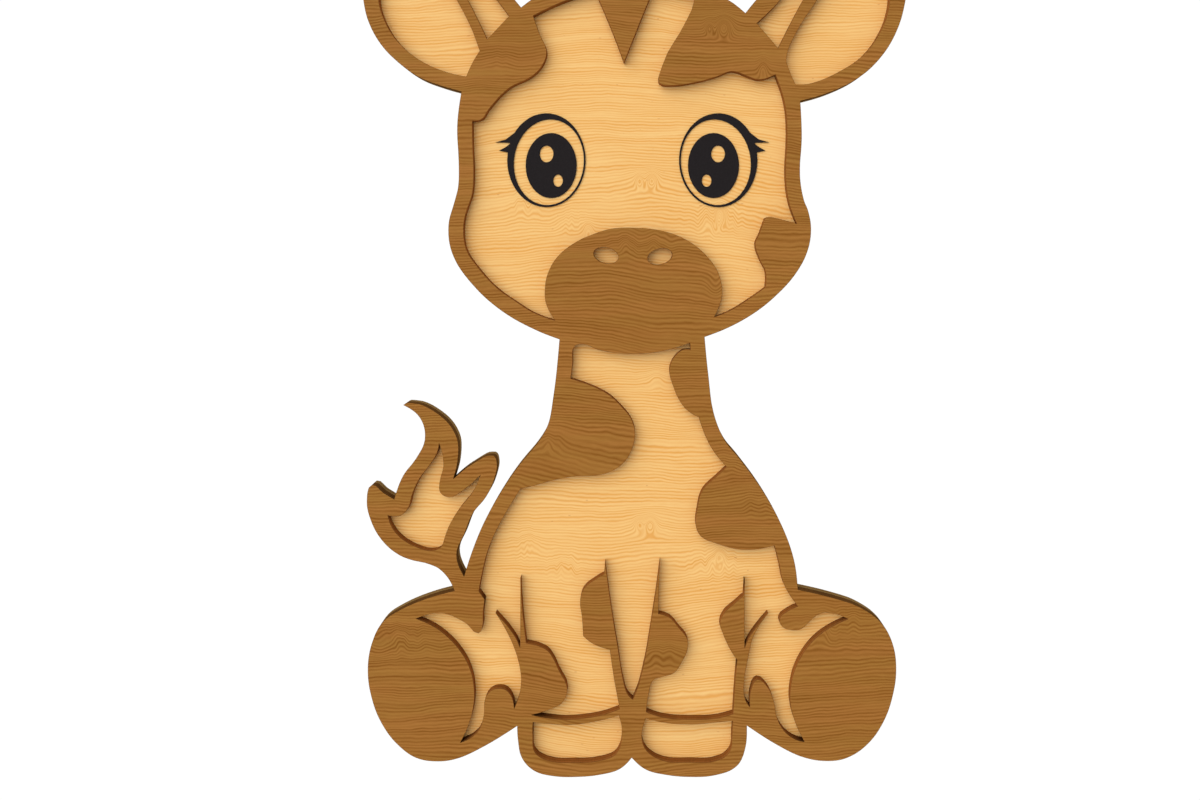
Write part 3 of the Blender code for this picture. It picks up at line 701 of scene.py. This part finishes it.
def build_dark_sheet():
    """The front sheet, its back carried across the CAD's glue gap to just before the pale sheet."""
    front_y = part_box("front_fretwork")[0].y
    back_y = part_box("back_panel")[0].y - SHEET_JOINT
    stain = dark_face("dark_stain_face", DARK_SEED)
    # The window walls get soot and painted shade in their narrow tips
    wall = cut_wall("dark_cut_edge", front_y, *UMBER_WALL, soot_and_shade=TIP_SOOT_AND_SHADE)
    # The outside wall takes a darker copy of the wall material: painted shade
    outer = cut_wall("shaded_outer_cut_edge", front_y, *SHADED_OUTER_WALL)
    dark = sheet("dark_sheet", "front_fretwork", front_y, back_y, DARK_GRID)
    stand_for(dark, "front_fretwork", (stain, wall, stain, outer))


def build_fittings():
    plating = zinc("zinc_plate", PLATE_BRIGHT, PLATE_DULL, 0.45)
    bright = zinc("screw_zinc", SCREW_BRIGHT, SCREW_DULL, 0.3)
    grey = rubber()
    stand_for(rounded("hanger", "hanger_plate", HANGER_EASE), "hanger_plate", [plating])
    for side in ("left", "right"):
        screw = rounded(side + "_screw", side + "_hanger_screw", SCREW_EASE)
        stand_for(screw, side + "_hanger_screw", [bright])
        pad = rounded(side + "_pad", side + "_wall_bumper", PAD_EASE)
        stand_for(pad, side + "_wall_bumper", [grey])


def finish_eyes():
    """The CAD's own eye pieces, in black film."""
    film = black_film()
    for side in ("left", "right"):
        for part in ("eye_ring", "pupil"):
            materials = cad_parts[side + "_" + part].data.materials
            materials.clear()
            materials.append(film)


def cove_profile():
    """Radius and height of the cove's rings, from the floor's edge up to the dome's top."""
    quarter = [math.pi / 2 * i / COVE_ARC_STEPS for i in range(COVE_ARC_STEPS + 1)]
    bend = [(COVE_RADIUS - COVE_BEND + COVE_BEND * math.sin(angle),
             COVE_FLOOR + COVE_BEND - COVE_BEND * math.cos(angle)) for angle in quarter]
    dome = [(COVE_RADIUS * math.cos(angle),
             COVE_DOME_MIDDLE + COVE_RADIUS * math.sin(angle)) for angle in quarter[1:-1]]
    return bend + dome


def glowing_white():
    white = bpy.data.materials.new("studio_white")
    white.use_nodes = True
    inputs = white.node_tree.nodes["Principled BSDF"].inputs
    inputs["Base Color"].default_value = (0.0, 0.0, 0.0, 1.0)
    inputs["Specular IOR Level"].default_value = 0.0
    inputs["Emission Color"].default_value = (1.0, 1.0, 1.0, 1.0)
    inputs["Emission Strength"].default_value = COVE_GLOW
    return white


def build_studio():
    """A white cove that only the camera sees, so that it lights nothing."""
    work = bmesh.new()
    rings = []
    for radius, z in cove_profile():
        angles = [2 * math.pi * k / COVE_SIDES for k in range(COVE_SIDES)]
        rings.append([work.verts.new((radius * math.cos(a), radius * math.sin(a), z)) for a in angles])
    for low, high in zip(rings, rings[1:]):
        for k in range(COVE_SIDES):
            after = (k + 1) % COVE_SIDES
            work.faces.new((low[k], low[after], high[after], high[k])).smooth = True
    work.faces.new(rings[0])
    work.faces.new(rings[-1])
    mesh = bpy.data.meshes.new("studio_cove")
    work.to_mesh(mesh)
    work.free()
    mesh.materials.append(glowing_white())
    cove = add_item("studio_cove", mesh)
    cove.visible_diffuse = False
    cove.visible_glossy = False
    cove.visible_shadow = False
    cove.visible_transmission = False


def add_sun(name, towards, share, spread):
    """A soft far light: share is what a face square to -Y or +Y receives."""
    light = bpy.data.lights.new(name, "SUN")
    light.angle = math.radians(spread)
    direction = Vector(towards).normalized()
    light.energy = share * math.pi / abs(direction.y)
    add_item(name, light).rotation_euler = direction.to_track_quat("Z", "Y").to_euler()


def build_lights():
    """An even white sky, a wide key from the upper left, and a sun for the back."""
    scene = bpy.context.scene
    scene.view_settings.view_transform = "Standard"
    scene.world = bpy.data.worlds.new("studio")
    scene.world.use_nodes = True
    sky = scene.world.node_tree.nodes["Background"]
    sky.inputs["Color"].default_value = (1.0, 1.0, 1.0, 1.0)
    sky.inputs["Strength"].default_value = AMBIENT
    tilt, rise = math.radians(KEY_TILT), math.radians(KEY_RISE)
    key = (-math.sin(tilt) * math.cos(rise), -math.cos(tilt), math.sin(tilt) * math.sin(rise))
    add_sun("key", key, KEY_SHARE, KEY_SPREAD)
    add_sun("rear", REAR_TOWARDS, REAR_SHARE, REAR_SPREAD)


def build_camera():
    front_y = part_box("front_fretwork")[0].y
    camera = bpy.data.cameras.new("camera")
    camera.sensor_width = CAMERA_SENSOR
    camera.lens = CAMERA_LENS
    camera.shift_x, camera.shift_y = CAMERA_SHIFT
    item = add_item("camera", camera)
    item.location = (0.0, front_y - CAMERA_DISTANCE, CAMERA_HEIGHT)
    item.rotation_euler = (math.radians(90), 0.0, 0.0)
    bpy.context.scene.camera = item


build_camera()
build_pale_sheet()
build_dark_sheet()
build_fittings()
finish_eyes()
build_lights()
build_studio()
